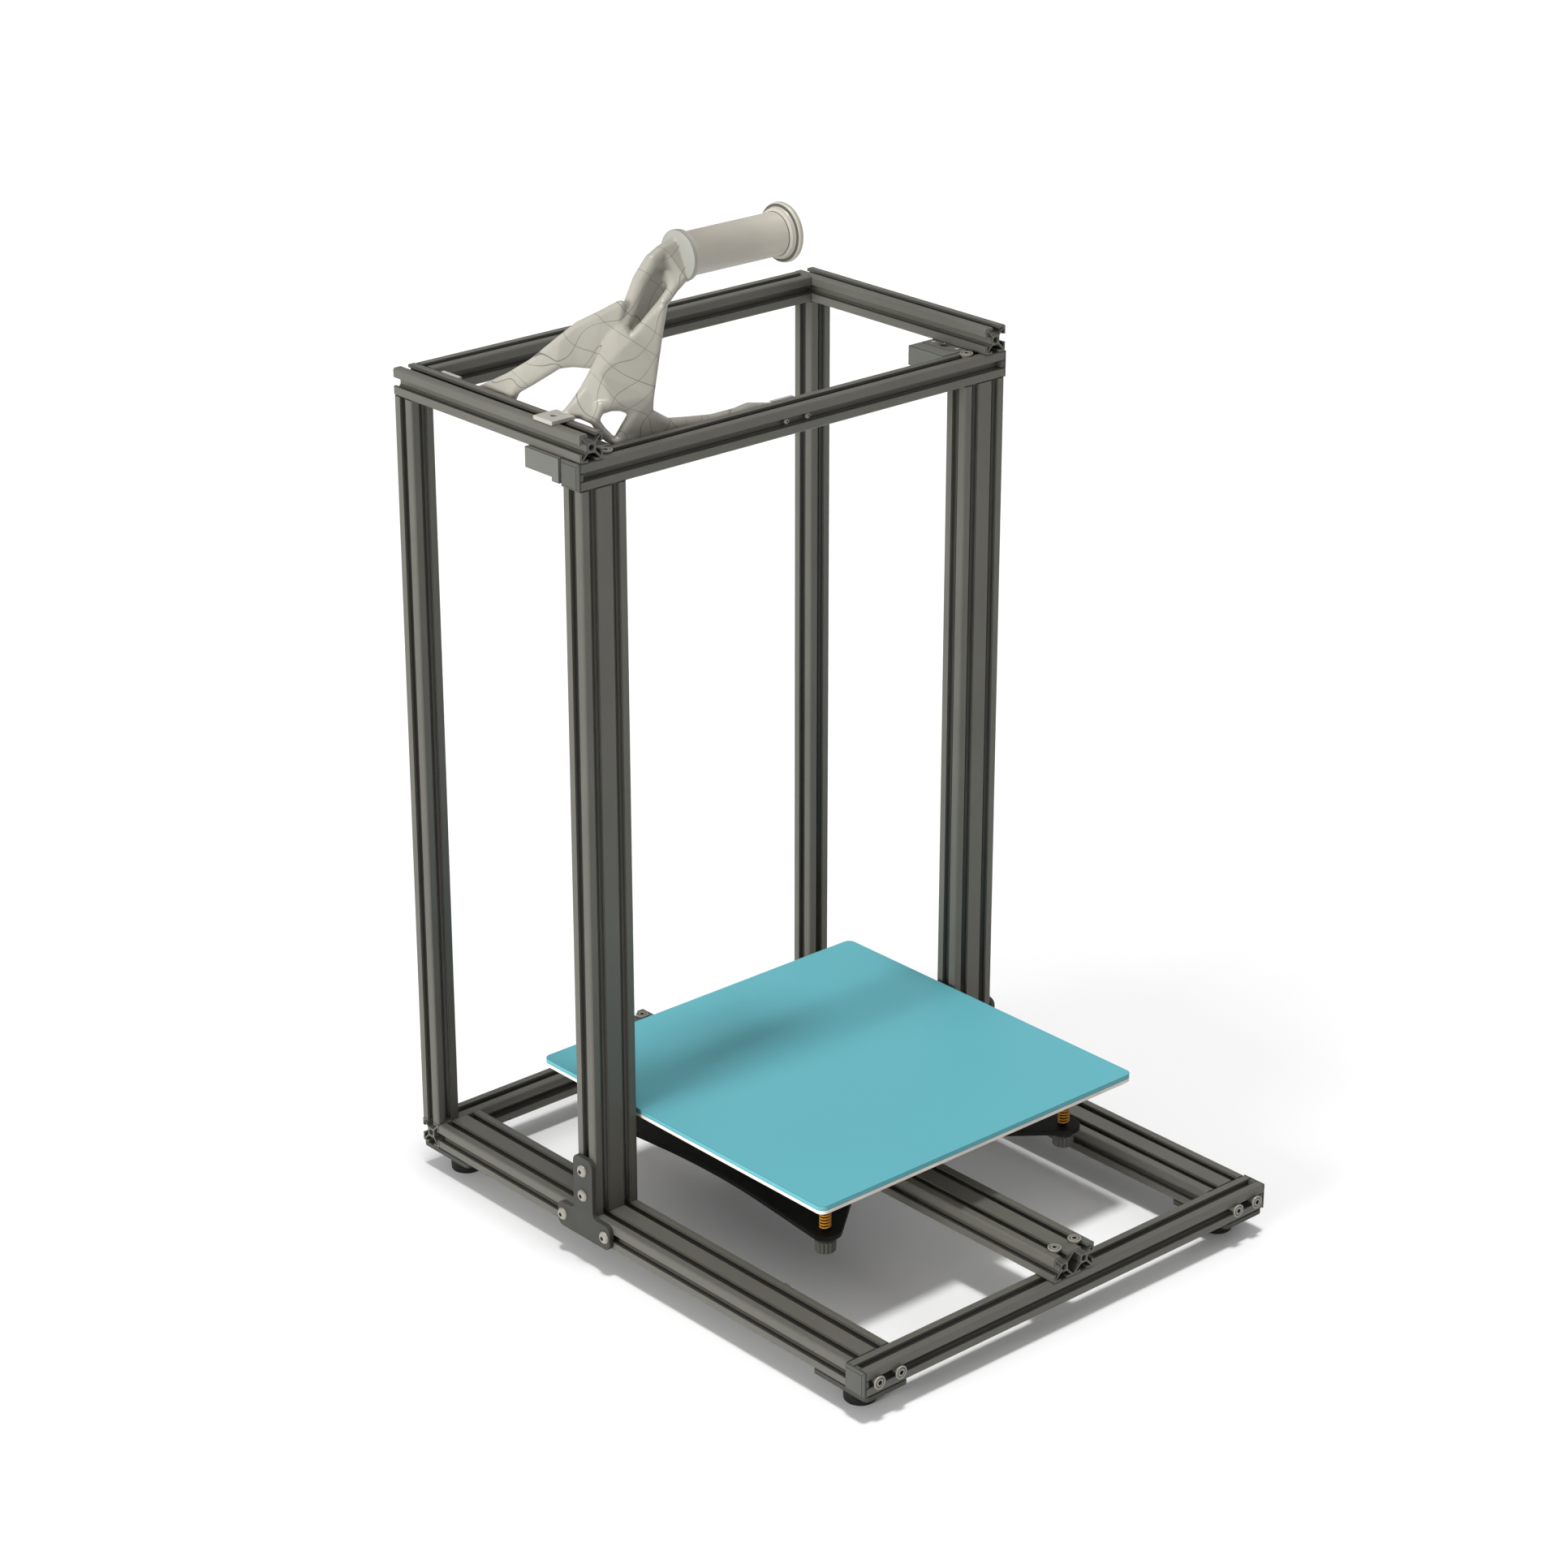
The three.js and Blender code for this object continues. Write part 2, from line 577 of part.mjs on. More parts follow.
// Axle bolt with its spacer and nut: head on the carriage plate, nut under the wheel.
function wheelAxle() {
  const spacerLow = WHEEL_HALF + 0.5;
  const spacerHigh = CARRIAGE_BOTTOM - RAIL_Z - 0.2;
  const headLow = CARRIAGE_TOP - RAIL_Z + 0.2;
  return turned([
    [0, -8.6],
    [4.2, -8.6],
    [4.2, -WHEEL_HALF - 0.5],
    [AXLE_RADIUS, -WHEEL_HALF - 0.5],
    [AXLE_RADIUS, spacerLow],
    [4.2, spacerLow],
    [4.2, spacerHigh],
    [AXLE_RADIUS, spacerHigh],
    [AXLE_RADIUS, headLow],
    [4.6, headLow],
    [4, headLow + 2.4],
    [0, headLow + 2.4],
  ], 12);
}

function buildBed() {
  put("glass_plate", bedSheet(GLASS_THICK), "glass", [CENTRE_X, CENTRE_Y, GLASS_BOTTOM]);
  put("heated_plate", heatedPlate(), "heater");
  put("carriage_plate", carriagePlate(), "carriage", [CENTRE_X, CENTRE_Y, CARRIAGE_BOTTOM]);
  for (const { name, x, y } of LEVEL_POINTS) {
    put(`${name}_spring`, spring(), "spring", [x, y, CARRIAGE_TOP]);
    put(`${name}_levelling_knob`, levellingKnob(), "knob", [x, y, KNOB_LOW]);
  }
  for (const { name, x, y } of WHEELS) {
    put(`${name}_wheel`, wheel(), "wheel", [x, y, RAIL_Z]);
    put(`${name}_wheel_axle`, wheelAxle(), "screw", [x, y, RAIL_Z]);
  }
}

// ---- spool holder -------------------------------------------------------------------------
// The bracket is a printed, bone-like body. Each stretch is the hull of two or more balls
// [x, y, z, radius], so that limbs taper and sheets have round edges.
const RIB = [
  [19, 330, 617, 2.6], [27, 330, 621, 3.8], [40, 332, 628, 5.5], [52, 334, 637, 7],
  [63, 335, 650, 7], [73, 335, 666, 6], [83, 335, 681, 5.5], [92, 336, 696, 5.5],
  [103, 337, 707, 5.5], [115, 339, 712, 5], [125, 339, 714, 5],
];
const RIDGE = [
  [124, 328, 694, 4], [114, 327, 688, 4], [103, 326, 679, 4], [88, 325, 668.5, 4],
  [80, 325, 662.5, 4], [73, 326, 657.5, 4.5], [66, 328, 652, 5],
];
const WEB_RIB = [
  [66, 338, 656, 4], [75, 338, 668, 3], [85, 339, 683, 3], [94, 340, 697, 3], [104, 341, 703, 3],
];
const WEB_RIDGE = [
  [76, 331, 660, 3], [83, 333, 665, 3], [91, 334, 670, 3], [105, 335, 680, 3], [115, 335, 688, 3],
];
const EDGE = [
  [79, 314, 609, 4], [80, 314, 620, 4], [86, 316, 641, 4], [94, 320, 663, 4], [100, 323, 677, 4],
];
const INNER_FOOT = [28, 324, 616, 3];
const LEFT_KNEE = [39, 322, 618, 5];
const LEFT_LEG = [[34.5, 317, 612.5, 3.4], [40, 317, 604.5, 3.6], [45.5, 316, 598, 3.6], [50, 314, 593, 3.4]];
const ARCH_TOP = [[41, 319, 620, 4.5], [49, 318, 620.5, 5], [58, 317, 619, 5]];
const RIGHT_KNEE = [68, 314, 613, 4];
const ARM = [
  [81, 315, 602, 4.5], [97, 315.5, 597, 4.5], [115, 316, 594, 4.5], [138, 315.5, 591, 4.5],
  [160, 315.5, 591, 4.5], [172, 315.5, 592.5, 4.5], [192, 312.5, 591, 2.5],
];
const ARM_DROP = 7;
const WING_TOP = [
  [29, 437, 607, 3.5], [30, 405, 623, 4], [37, 386, 636.5, 4], [44, 364, 656, 4],
  [53, 355, 666.5, 4], [62, 344, 674, 4], [73, 334, 682, 4],
];
const WING_LOW = [
  [26, 400, 606, 3.5], [30, 398, 617, 4], [35, 388, 624, 4], [43, 366, 640, 4],
  [50, 358, 641.5, 4], [58, 348, 641, 4], [68, 338, 652, 4],
];
const REAR_TOE = [23.5, 452, 603, 2.5];
const HEAD_DIMPLE = [104, 328, 693, 4];
const HEAD_REAR = [116, 341, 702, 4.5];
const BRACKET_BOLT = 2.65;

function ball([x, y, z, radius]) {
  return new THREE.IcosahedronGeometry(radius, 1).translate(x, y, z);
}

function hull(balls) {
  const points = balls.flatMap((one) => {
    const place = ball(one).attributes.position;
    const corner = (_, index) => new THREE.Vector3().fromBufferAttribute(place, index);
    return Array.from({ length: place.count }, corner);
  });
  return new ConvexGeometry(points);
}

// A limb that runs from ball to ball.
const chain = (balls) => balls.slice(1).map((one, index) => hull([balls[index], one]));

// A sheet between two rows of balls of the same length.
const sheet = (upper, lower) =>
  upper.slice(1).map((one, index) => hull([upper[index], one, lower[index], lower[index + 1]]));

const lowered = (balls, drop) => balls.map(([x, y, z, radius]) => [x, y, z - drop, radius]);

// Main rib, the ridge beside it and the body below them.
function bracketBody() {
  return [
    ...chain(RIB),
    ...chain(RIDGE),
    ...sheet(WEB_RIB, WEB_RIDGE),
    hull([RIB[4], RIB[5], RIDGE[5], RIDGE[6]]),
    hull([RIB[3], RIB[4], RIDGE[6], EDGE[1], EDGE[2]]),
    hull([RIDGE[6], RIDGE[5], RIDGE[4], EDGE[2]]),
    hull([RIDGE[4], RIDGE[3], EDGE[2], EDGE[3]]),
    hull([RIDGE[3], RIDGE[2], EDGE[3], EDGE[4]]),
    hull([RIB[1], RIB[2], INNER_FOOT, LEFT_KNEE]),
    hull([RIB[0], RIB[1], INNER_FOOT]),
    hull([RIB[2], RIB[3], LEFT_KNEE, ARCH_TOP[1]]),
    hull([RIB[3], ARCH_TOP[1], ARCH_TOP[2], EDGE[1]]),
    hull([RIB[8], RIB[9], HEAD_REAR]),
    hull([RIB[9], RIB[10], HEAD_REAR, RIDGE[0]]),
    hull([HEAD_REAR, RIDGE[1], RIDGE[0]]),
  ];
}

// The two legs either side of the arch, and the arm behind the top front beam.
function bracketLegs() {
  return [
    hull([INNER_FOOT, LEFT_KNEE, LEFT_LEG[0]]),
    hull([LEFT_KNEE, LEFT_LEG[0], ARCH_TOP[0]]),
    ...chain(LEFT_LEG),
    ...chain(ARCH_TOP),
    hull([LEFT_KNEE, ARCH_TOP[0], ARCH_TOP[1]]),
    hull([ARCH_TOP[2], RIGHT_KNEE, EDGE[1]]),
    hull([RIGHT_KNEE, LEFT_LEG[3]]),
    hull([RIGHT_KNEE, EDGE[0], EDGE[1]]),
    hull([RIGHT_KNEE, EDGE[0], ARM[0], LEFT_LEG[3], ...lowered([ARM[0]], ARM_DROP)]),
    hull([EDGE[0], ARM[0], ARM[1]]),
    ...sheet(ARM.slice(0, 5), lowered(ARM.slice(0, 5), ARM_DROP)),
    ...chain(ARM.slice(4)),
  ];
}

function spoolBracket() {
  const { y, z } = SPOOL_AXIS;
  const clear = 0.1;
  const limbs = [
    ...bracketBody(),
    ...bracketLegs(),
    ...sheet(WING_TOP, WING_LOW),
    hull([WING_TOP[0], REAR_TOE]),
    box([0, 320, TOP_BEAM_Z + CELL + clear], [CELL, 340, TOP_BEAM_Z + CELL + 3]),
    box([CELL + clear, 450, TOP_BEAM_Z], [CELL + 3, 470, TOP_BEAM_Z + CELL]),
    box([190, UPRIGHT_Y + CELL + clear, TOP_BEAM_Z - CELL], [210, UPRIGHT_Y + CELL + 3, TOP_BEAM_Z]),
    box([46, UPRIGHT_Y + CELL + clear, TOP_BEAM_Z - CELL], [64, UPRIGHT_Y + CELL + 3, TOP_BEAM_Z + 2]),
    rod([SPOOL_DISC_X, y, z], [SPOOL_DISC_X + 2, y, z], SPOOL_DISC_RADIUS, 28),
  ];
  const frontFace = UPRIGHT_Y + CELL + clear;
  const cuts = [
    ball(HEAD_DIMPLE),
    box([-5, UPRIGHT_Y, TOP_BEAM_Z - CELL], [300, frontFace, TOP_BEAM_Z + clear]),
    box([-10, 300, TOP_BEAM_Z - CELL], [CELL + clear, 520, TOP_BEAM_Z + CELL + clear]),
    box([-5, 300, TOP_BEAM_Z - CELL], [45, 350, TOP_BEAM_Z + clear]),
    box([SPOOL_DISC_X + 2, y - 30, z - 30], [SPOOL_DISC_X + 12, y + 30, z + 30]),
    rod([10, 330, TOP_BEAM_Z], [10, 330, TOP_BEAM_Z + CELL + 12], BRACKET_BOLT),
    rod([CELL - 5, 460, TOP_BEAM_Z + HALF_CELL], [CELL + 8, 460, TOP_BEAM_Z + HALF_CELL], BRACKET_BOLT),
    rod([200, 300, TOP_BEAM_Z - HALF_CELL], [200, 320, TOP_BEAM_Z - HALF_CELL], BRACKET_BOLT),
  ];
  return cuts.reduce((left, tool) => left.subtract(solid(tool)), join(limbs));
}

function spoolTube() {
  const start = SPOOL_DISC_X + 2 + GAP;
  const end = SPOOL_TUBE_END;
  const bore = SPOOL_TUBE_RADIUS - 2.6;
  return turned([
    [0, start],
    [18.2, start],
    [18.2, start + 2],
    [SPOOL_TUBE_RADIUS, start + 2.6],
    [SPOOL_TUBE_RADIUS, end - 8.8],
    [18.2, end - 7.4],
    [18.8, end - 5],
    [20.8, end - 4.2],
    [21.5, end - 2.8],
    [21.5, end - 1],
    [20.4, end],
    [bore, end],
    [bore, start + 5],
    [0, start + 5],
  ], 28);
}

function buildSpoolHolder() {
  put("spool_bracket", spoolBracket(), "spool");
  put("spool_tube", spoolTube(), "spool", [0, SPOOL_AXIS.y, SPOOL_AXIS.z], ALONG.x);
}

buildExtrusions();
buildEndCaps();
buildFeet();
buildTPlates();
buildScrews();
buildTopBearings();
buildBed();
buildSpoolHolder();

export default machine;
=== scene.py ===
"""Looks of the open-frame FDM printer: finishes, fine parts, floor, light and camera.

Positions are in millimetres from the base frame's left front bottom corner (+X right,
+Y back, +Z up), as in the CAD source; at() turns them into the model's frame in metres.
"""

import math

import bmesh
import bpy
from mathutils import Matrix, Vector


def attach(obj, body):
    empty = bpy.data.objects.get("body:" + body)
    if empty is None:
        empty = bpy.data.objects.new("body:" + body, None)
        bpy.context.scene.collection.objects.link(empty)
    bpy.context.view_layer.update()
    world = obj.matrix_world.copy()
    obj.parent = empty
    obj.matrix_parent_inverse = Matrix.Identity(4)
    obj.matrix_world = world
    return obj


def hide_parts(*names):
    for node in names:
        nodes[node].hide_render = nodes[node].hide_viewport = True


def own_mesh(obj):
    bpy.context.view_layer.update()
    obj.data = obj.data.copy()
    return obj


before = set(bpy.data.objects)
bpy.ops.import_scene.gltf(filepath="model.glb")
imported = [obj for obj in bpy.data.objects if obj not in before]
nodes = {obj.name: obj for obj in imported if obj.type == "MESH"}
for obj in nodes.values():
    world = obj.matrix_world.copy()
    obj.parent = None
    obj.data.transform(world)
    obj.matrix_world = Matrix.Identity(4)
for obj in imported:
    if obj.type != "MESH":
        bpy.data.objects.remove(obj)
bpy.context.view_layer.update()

ORIGIN = Vector((200, 248.375, -20))  # the model's origin, from the base frame's corner
METRE = 1000  # millimetres
WIDTH = 400  # base frame, X
LEFT_RIGHT = ("left", "right")
CORNERS = [f"{end}_{side}" for end in ("front", "rear") for side in LEFT_RIGHT]
CENTRE = (200, 250)  # of the base frame, and of the bed at rest
UPRIGHT_Y = 300  # middle of the front uprights
PLATE_THICK = 4  # foot plates and T plates
BEAM_TOP = 595  # top of the top front beam
RAIL_MIDDLE = 30
RAIL_TOP = 40


def at(x, y, z):
    return (Vector((x, y, z)) - ORIGIN) / METRE


def across(side, x):
    """x on the left of the machine, mirrored for the right side."""
    return x if side == "left" else WIDTH - x


def corner_point(corner, centre, half_x, half_y):
    end, side = corner.split("_")
    x = centre[0] + (half_x if side == "right" else -half_x)
    y = centre[1] + (half_y if end == "rear" else -half_y)
    return x, y


# ---- materials ----------------------------------------------------------------------------
def srgb(text):
    """Linear colour of a hex code."""
    levels = [int(text[i : i + 2], 16) / 255 for i in (0, 2, 4)]
    linear = [v / 12.92 if v <= 0.04045 else ((v + 0.055) / 1.055) ** 2.4 for v in levels]
    return (*linear, 1)


class Surface:
    """A Principled material with its node tree at hand."""

    def __init__(self, name, roughness, metallic=0.0, coat=0.0, specular=0.5):
        self.material = bpy.data.materials.new(name)
        self.material.use_nodes = True
        self.tree = self.material.node_tree
        self.shader = self.tree.nodes["Principled BSDF"]
        self.shader.inputs["Roughness"].default_value = roughness
        self.shader.inputs["Metallic"].default_value = metallic
        self.shader.inputs["Coat Weight"].default_value = coat
        self.shader.inputs["Specular IOR Level"].default_value = specular
        self.coords = self.add("ShaderNodeTexCoord")

    def add(self, kind, **settings):
        node = self.tree.nodes.new(kind)
        for key, value in settings.items():
            setattr(node, key, value)
        return node

    def link(self, out, socket):
        self.tree.links.new(out, socket)

    def noise(self, scale, detail=3.0, stretch=(1, 1, 1)):
        mapping = self.add("ShaderNodeMapping")
        mapping.inputs["Scale"].default_value = [scale * s for s in stretch]
        self.link(self.coords.outputs["Object"], mapping.inputs["Vector"])
        node = self.add("ShaderNodeTexNoise")
        node.inputs["Scale"].default_value = 1
        node.inputs["Detail"].default_value = detail
        self.link(mapping.outputs["Vector"], node.inputs["Vector"])
        return node.outputs["Fac"]

    def ramp(self, fac, low, high, dark, light):
        node = self.add("ShaderNodeValToRGB")
        node.color_ramp.elements[0].position = low
        node.color_ramp.elements[1].position = high
        node.color_ramp.elements[0].color = dark
        node.color_ramp.elements[1].color = light
        self.link(fac, node.inputs["Fac"])
        return node.outputs["Color"]

    def colour(self, fac, base, spread=0.08, low=0.3, high=0.7):
        """Base colour that wanders by spread, as a share of itself."""
        dark = tuple(c * (1 - spread) for c in base[:3]) + (1,)
        light = tuple(min(1, c * (1 + spread)) for c in base[:3]) + (1,)
        mixed = self.ramp(fac, low, high, dark, light)
        self.link(mixed, self.shader.inputs["Base Color"])
        return mixed

    def roughness(self, fac, low, high):
        node = self.add("ShaderNodeMapRange")
        node.inputs["To Min"].default_value = low
        node.inputs["To Max"].default_value = high
        self.link(fac, node.inputs["Value"])
        self.link(node.outputs["Result"], self.shader.inputs["Roughness"])

    def bump(self, fac, height_mm, strength=0.5):
        node = self.add("ShaderNodeBump")
        node.inputs["Strength"].default_value = strength
        node.inputs["Distance"].default_value = height_mm / METRE
        self.link(fac, node.inputs["Height"])
        self.link(node.outputs["Normal"], self.shader.inputs["Normal"])

    def seams(self, turn, spacing, width, wander):
        """Mask of thin lines where wavy planes, tilted about Y by turn, cut the surface."""
        mapping = self.add("ShaderNodeMapping")
        mapping.inputs["Rotation"].default_value = (0, turn, 0)
        self.link(self.coords.outputs["Object"], mapping.inputs["Vector"])
        wave = self.add("ShaderNodeTexWave", wave_profile="SAW")
        wave.inputs["Scale"].default_value = math.pi / (10 * spacing)
        wave.inputs["Distortion"].default_value = wander
        wave.inputs["Detail"].default_value = 0
        wave.inputs["Detail Scale"].default_value = 30 / wave.inputs["Scale"].default_value
        self.link(mapping.outputs["Vector"], wave.inputs["Vector"])
        line = (1, 1, 1, 1)
        clear = (0, 0, 0, 1)
        return self.ramp(wave.outputs["Fac"], width, width * 1.4, line, clear)


def extruded_aluminium(axis):
    """Satin anodised aluminium with die lines that run along the beam's own axis."""
    made = Surface(f"anodised_{axis}", roughness=0.42, metallic=0.15, specular=0.3)
    along = {"x": (0.006, 1, 1), "y": (1, 0.006, 1), "z": (1, 1, 0.006)}[axis]
    lines = made.noise(2600, detail=2, stretch=along)
    made.colour(made.noise(18), ANODISED, spread=0.05)
    made.roughness(lines, 0.36, 0.5)
    made.bump(lines, 0.012, strength=0.35)
    return made.material


def moulded(name, base, roughness, grain=900, height=0.02, spread=0.05):
    """Plastic or rubber with a fine eroded grain."""
    made = Surface(name, roughness=roughness)
    made.colour(made.noise(25), base, spread=spread)
    grain_noise = made.noise(grain, detail=4)
    made.roughness(grain_noise, roughness - 0.06, roughness + 0.08)
    made.bump(grain_noise, height, strength=0.4)
    return made.material


def metal(name, base, roughness, metallic=0.85, grain=1400, spread=0.06):
    """Plated or ground metal with faint turning marks."""
    made = Surface(name, roughness=roughness, metallic=metallic)
    made.colour(made.noise(120), base, spread=spread)
    marks = made.noise(grain, detail=2)
    made.roughness(marks, roughness - 0.07, roughness + 0.09)
    made.bump(marks, 0.008, strength=0.3)
    return made.material


def powder_coat(name, base, roughness, specular=0.5):
    made = Surface(name, roughness=roughness, specular=specular)
    made.colour(made.noise(30), base, spread=0.12)
    orange_peel = made.noise(650, detail=1)
    made.roughness(orange_peel, roughness - 0.08, roughness + 0.08)
    made.bump(orange_peel, 0.03, strength=0.35)
    return made.material


def tinted_glass():
    """Glass sheet with a coloured underside: even colour, soft gloss, faint wipe marks."""
    made = Surface("tinted_glass", roughness=0.5, specular=0.25)
    made.colour(made.noise(6, detail=1), GLASS, spread=0.015)
    wipes = made.noise(40, detail=3, stretch=(1, 0.15, 1))
    made.roughness(wipes, 0.46, 0.56)
    return made.material


def printed_shell():
    """Smooth printed plastic, with fine seams between the patches of its surface."""
    made = Surface("printed_shell", roughness=0.36, specular=0.45)
    base = made.ramp(made.noise(20), 0.3, 0.7, SHELL_DARK, SHELL_LIGHT)
    across_limb = made.seams(turn=SHELL_LEAN, spacing=0.019, width=0.018, wander=5)
    along_limb = made.seams(turn=SHELL_LEAN - math.pi / 2, spacing=0.014, width=0.024, wander=6)
    both = made.add("ShaderNodeMath", operation="MAXIMUM")
    made.link(across_limb, both.inputs[0])
    made.link(along_limb, both.inputs[1])
    faded = made.add("ShaderNodeMath", operation="MULTIPLY")
    made.link(both.outputs["Value"], faded.inputs[0])
    faded.inputs[1].default_value = 0.75
    mixed = made.add("ShaderNodeMix", data_type="RGBA")
    base_socket, seam_socket = [socket for socket in mixed.inputs if socket.type == "RGBA"]
    made.link(faded.outputs["Value"], mixed.inputs[0])
    made.link(base, base_socket)
    seam_socket.default_value = SEAM_AND_RIM_SHADE
    colour = [socket for socket in mixed.outputs if socket.type == "RGBA"][0]
    made.link(colour, made.shader.inputs["Base Color"])
    made.bump(made.noise(1500, detail=2), 0.01, strength=0.25)
    return made.material


def plain_floor():
    made = Surface("studio_floor", roughness=0.9, specular=0.1)
    made.colour(made.noise(0.8, detail=1), (0.8, 0.8, 0.8, 1), spread=0.004)
    return made.material


ANODISED = srgb("5a5952")
GLASS = srgb("589fa9")
SHELL_DARK = srgb("8c8980")
SHELL_LIGHT = srgb("9a978d")
# colour of the bracket's patch seams, and of the painted shade lines round the spool's rims
SEAM_AND_RIM_SHADE = srgb("4c4a44")
SHELL_LEAN = math.radians(42)  # how far the bracket's main rib rises from level

ALUMINIUM = {axis: extruded_aluminium(axis) for axis in "xyz"}
# painted shade: dark fine lines along the sharp edges of the CAD nodes
EDGE = moulded("edge_shadow", srgb("2f2e2a"), 0.8)
CAP = moulded("cap_plastic", srgb("484944"), 0.6)
PLATE = powder_coat("plate_coat", srgb("353631"), 0.5, specular=0.3)
RUBBER = moulded("foot_rubber", srgb("0d0d0d"), 0.7, grain=500, height=0.05)
STEEL = metal("plated_steel", srgb("8f8c83"), 0.42, metallic=0.3)
SOCKET = metal("socket_shade", srgb("3c3a36"), 0.6, metallic=0.2)
RACE = metal("bearing_steel", srgb("b4b1ab"), 0.28)
BLOCK = moulded("block_plastic", srgb("5c5d57"), 0.55)
HEATER = powder_coat("heater_coat", srgb("d6d1c8"), 0.45, specular=0.2)
CARRIAGE = powder_coat("carriage_coat", srgb("080807"), 0.55, specular=0.2)
SPRING = metal("spring_coat", srgb("a8731d"), 0.45, metallic=0.1)
KNOB = moulded("knob_plastic", srgb("464540"), 0.55)
WHEEL = moulded("wheel_plastic", srgb("161616"), 0.5)
SHELL = printed_shell()
TUBE = moulded("tube_plastic", srgb("a49f94"), 0.36, grain=1200, height=0.01)
DISC = moulded("disc_plastic", srgb("8b8b84"), 0.45, grain=1200, height=0.01)
# painted shade: dark lines round the rims of the spool's disc and barrel
RIM_SHADE = moulded("rim_shade_lines", SEAM_AND_RIM_SHADE, 0.6, grain=1200, height=0.01)
SHELL_PLATE = moulded("bracket_plate", srgb("9b9990"), 0.42, grain=1200, height=0.01)
GLASS_SHEET = tinted_glass()


# ---- building and placing pieces ----------------------------------------------------------
def stripped(name, *materials):
    """A CAD node with its stored normals dropped, its vertices joined and new materials on."""
    piece = nodes[name]
    custom = piece.data.attributes.get("custom_normal")
    if custom:
        piece.data.attributes.remove(custom)
    piece.data.materials.clear()
    for material in materials:
        piece.data.materials.append(material)
    weld = piece.modifiers.new("weld", "WELD")
    weld.merge_threshold = 1e-5
    return piece


def add_split(piece, angle):
    split = piece.modifiers.new("split", "EDGE_SPLIT")
    split.split_angle = math.radians(angle)


def dress(name, *materials, line=0.3, angle=40):
    """Dressing of a CAD node: dark fine lines of painted shade along its sharp edges, smooth round
    stretches.
    """
    piece = stripped(name, *materials)
    piece.data.shade_smooth()
    flat = piece.modifiers.new("flat", "DECIMATE")
    flat.decimate_type = "DISSOLVE"
    flat.angle_limit = math.radians(0.5)
    bevel = piece.modifiers.new("edge", "BEVEL")
    bevel.width = line / METRE
    bevel.segments = 1
    bevel.limit_method = "ANGLE"
    bevel.angle_limit = math.radians(angle)
    bevel.use_clamp_overlap = False
    # the bevel faces along sharp edges take the last material, lines of painted shade
    bevel.material = len(materials) - 1
    add_split(piece, 36)


def polygon_reach(radius, angle, sides):
    """Distance to the side of a regular polygon. A square stands with its sides along X and Y."""
    step = 2 * math.pi / sides
    turned = angle + (step / 2 if sides == 4 else 0)
    return radius * math.cos(step / 2) / math.cos(turned % step - step / 2)


def turned_vertex(mesh, reach, angle, height):
    """New vertex at a distance and an angle about Z, and a height, in millimetres."""
    point = Vector((reach * math.cos(angle), reach * math.sin(angle), height))
    return mesh.verts.new(point / METRE)


def join_rings(mesh, lower, upper):
    """Quads between two rings with the same number of vertices."""
    for index in range(len(lower)):
        after = (index + 1) % len(lower)
        mesh.faces.new((lower[index], lower[after], upper[after], upper[index]))


def lathe(name, profile, segments=48, shade=()):
    """Solid of revolution about Z. Profile points are (radius, height) in millimetres, or
    (radius, height, sides) for a ring with flat sides. shade lists the profile's stretches
    that take the second material. A profile that isn't closed by the axis closes on itself."""
    mesh = bmesh.new()
    rings = []
    for radius, height, *sides in profile:
        if radius < 1e-6:
            rings.append([mesh.verts.new((0, 0, height / METRE))])
            continue
        ring = []
        for index in range(segments):
            angle = 2 * math.pi * index / segments
            reach = polygon_reach(radius, angle, sides[0]) if sides else radius
            ring.append(turned_vertex(mesh, reach, angle, height))
        rings.append(ring)
    pairs = list(zip(rings, rings[1:]))
    if len(rings[0]) > 1 and len(rings[-1]) > 1:
        pairs.append((rings[-1], rings[0]))
    for stretch, (lower, upper) in enumerate(pairs):
        for index in range(segments):
            after = (index + 1) % segments
            if len(lower) == 1:
                face = mesh.faces.new((lower[0], upper[index], upper[after]))
            elif len(upper) == 1:
                face = mesh.faces.new((lower[index], upper[0], lower[after]))
            else:
                face = mesh.faces.new((lower[index], upper[index], upper[after], lower[after]))
            face.material_index = 1 if stretch in shade else 0
    return as_object(name, mesh)


def as_object(name, mesh):
    bmesh.ops.recalc_face_normals(mesh, faces=mesh.faces)
    data = bpy.data.meshes.new(name)
    mesh.to_mesh(data)
    mesh.free()
    data.shade_smooth()
    piece = bpy.data.objects.new(name, data)
    bpy.context.scene.collection.objects.link(piece)
    return piece


def settle(piece, position, slot, *materials, body="frame", toward=(0, 0, 1), angle=34):
    """Puts a new piece at a point, its own Z turned toward a direction, riding on a body."""
    turn = Vector((0, 0, 1)).rotation_difference(Vector(toward)).to_matrix().to_4x4()
    piece.matrix_world = Matrix.Translation(at(*position)) @ turn
    for material in materials:
        piece.data.materials.append(material)
    if angle:
        add_split(piece, angle)
    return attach(piece, body)


# ---- slotted beams, caps and plates -------------------------------------------------------
def dress_frame():
    side_beams = [f"{level}_{side}_beam" for level in ("base", "top") for side in LEFT_RIGHT]
    beams = {
        "x": [f"{level}_{end}_beam" for level in ("base", "top") for end in ("front", "rear")],
        "y": ["bed_rail", *side_beams],
        "z": [f"{corner}_upright" for corner in CORNERS],
    }
    for axis, names in beams.items():
        for name in names:
            dress(name, ALUMINIUM[axis], EDGE)
    for side in LEFT_RIGHT:
        dress(f"{side}_t_plate", PLATE, EDGE, line=0.35)
        dress(f"{side}_bearing_block", BLOCK, EDGE, line=0.35)
        for level in ("base", "top"):
            dress(f"{level}_{side}_end_cap", CAP, EDGE, line=0.25, angle=30)
    for corner in CORNERS:
        dress(f"{corner}_foot_plate", PLATE, EDGE, line=0.35)


FOOT_OFFSET = (180, 222.5)  # from the frame's centre to a foot, X and Y
FOOT_BOLT_Z = -11.5  # the bolt's head sits inside the hollow foot


